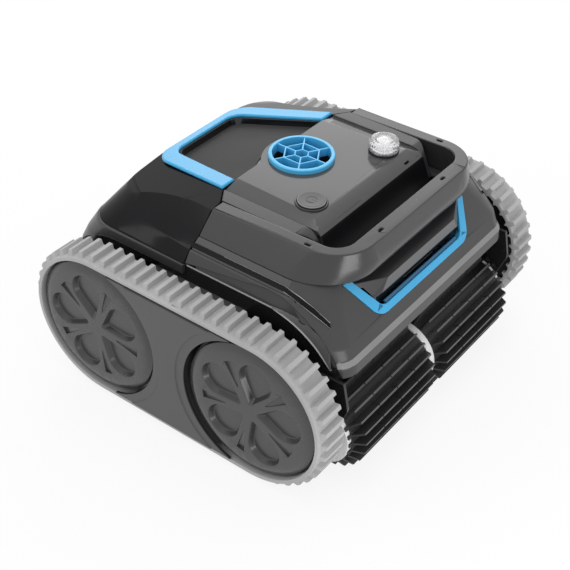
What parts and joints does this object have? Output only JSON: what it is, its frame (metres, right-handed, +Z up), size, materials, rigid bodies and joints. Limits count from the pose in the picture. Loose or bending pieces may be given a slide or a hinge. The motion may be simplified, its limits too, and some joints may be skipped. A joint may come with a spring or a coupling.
{
  "type": "pool cleaner",
  "caption": "Cordless track-driven robot pool cleaner with toothed rubber tracks, finned roller brush, carry handle, outlet grille and lift-out filter bin.",
  "frame": {"origin": "middle of the overall box, on the ground under the tracks", "axes": "+X along the axles, to the right as seen from the front; the front with the brush faces -Y; +Z up"},
  "size_m": [0.4152, 0.3844, 0.254],
  "materials": {
    "casing_grey": "satin dark grey",
    "deck_grey": "semi-gloss grey",
    "handle_grey": "semi-gloss grey",
    "scoop_grey": "satin dark grey",
    "tub_black": "gloss black",
    "trim_blue": "gloss sky blue",
    "button_grey": "satin grey",
    "lens_clear": "clear ribbed plastic",
    "cover_smoke": "smoky black, polished",
    "panel_grey": "fine matt grey",
    "basket_grey": "matt grey",
    "plate_grey": "satin grey",
    "wheel_black": "matt black",
    "belt_rubber": "matt light grey rubber",
    "fin_rubber": "matt black rubber",
    "core_white": "satin white",
    "inner_black": "matt black",
    "inner_white": "satin white",
    "bush_white": "waxy white",
    "motor_grey": "satin metal",
    "steel": "ground"
  },
  "bodies": {
    "body": {"base_tub": "tub_black", "front_casing": "casing_grey", "rear_frame": "casing_grey", "carry_handle": "handle_grey", "deck_panel": "deck_grey", "hand_scoop": "scoop_grey", "front_trim": "trim_blue", "outlet_grille": "trim_blue", "button_bezel": "button_grey", "light_base": "button_grey", "light_lens": "lens_clear", "pump_duct": "inner_black", "pump_motor": "motor_grey", "battery_pack": "inner_black", "control_box": "inner_black", "track_belt_left": "belt_rubber", "track_belt_right": "belt_rubber", "side_plate_left": "plate_grey", "side_plate_right": "plate_grey", "idler_axle_left": "steel", "idler_axle_right": "steel", "shaft_bush_left": "bush_white", "shaft_bush_right": "bush_white", "gearbox_left": "inner_black", "gearbox_right": "inner_black", "drive_motor_left": "motor_grey", "drive_motor_right": "motor_grey", "brush_bracket_left": "tub_black", "brush_bracket_right": "tub_black"},
    "filter_bin": {"bin_cover": "cover_smoke", "bin_grip": "trim_blue", "bin_panel": "panel_grey", "filter_basket": "basket_grey"},
    "button": {"power_button": "button_grey"},
    "brush": {"brush_core": "core_white", "brush_fins_left": "fin_rubber", "brush_fins_right": "fin_rubber", "brush_journal_left": "steel", "brush_journal_right": "steel"},
    "impeller": {"impeller": "inner_white", "impeller_shaft": "steel"},
    "rear_wheel_left": {"wheel_rear_left": "wheel_black", "wheel_cap_rear_left": "plate_grey", "drive_shaft_left": "steel"},
    "front_wheel_left": {"wheel_front_left": "wheel_black", "wheel_cap_front_left": "plate_grey"},
    "rear_wheel_right": {"wheel_rear_right": "wheel_black", "wheel_cap_rear_right": "plate_grey", "drive_shaft_right": "steel"},
    "front_wheel_right": {"wheel_front_right": "wheel_black", "wheel_cap_front_right": "plate_grey"}
  },
  "joints": [
    {"name": "bin_lift", "type": "slide", "parent": "body", "child": "filter_bin", "axis": [0, 0, 1], "range_m": [0, 0.225]},
    {"name": "button_press", "type": "slide", "parent": "body", "child": "button", "axis": [0, 0, -1], "range_m": [0, 0.002], "stiffness_N_per_m": 400, "springref_m": -0.002},
    {"name": "brush_spin", "type": "hinge", "parent": "body", "child": "brush", "pos_m": [0, -0.14215, 0.0506], "axis": [1, 0, 0], "continuous": true},
    {"name": "impeller_spin", "type": "hinge", "parent": "body", "child": "impeller", "pos_m": [0, -0.00365, 0.18], "axis": [0, 0, 1], "continuous": true},
    {"name": "rear_wheel_left_spin", "type": "hinge", "parent": "body", "child": "rear_wheel_left", "pos_m": [-0.185, 0.10335, 0.0888], "axis": [1, 0, 0], "continuous": true},
    {"name": "front_wheel_left_spin", "type": "hinge", "parent": "body", "child": "front_wheel_left", "pos_m": [-0.185, -0.09665, 0.0888], "axis": [1, 0, 0], "continuous": true},
    {"name": "rear_wheel_right_spin", "type": "hinge", "parent": "body", "child": "rear_wheel_right", "pos_m": [0.185, 0.10335, 0.0888], "axis": [1, 0, 0], "continuous": true},
    {"name": "front_wheel_right_spin", "type": "hinge", "parent": "body", "child": "front_wheel_right", "pos_m": [0.185, -0.09665, 0.0888], "axis": [1, 0, 0], "continuous": true}
  ],
  "couplings": [
    {"joint": "front_wheel_left_spin", "follows": "rear_wheel_left_spin", "ratio": 1},
    {"joint": "front_wheel_right_spin", "follows": "rear_wheel_right_spin", "ratio": 1}
  ]
}
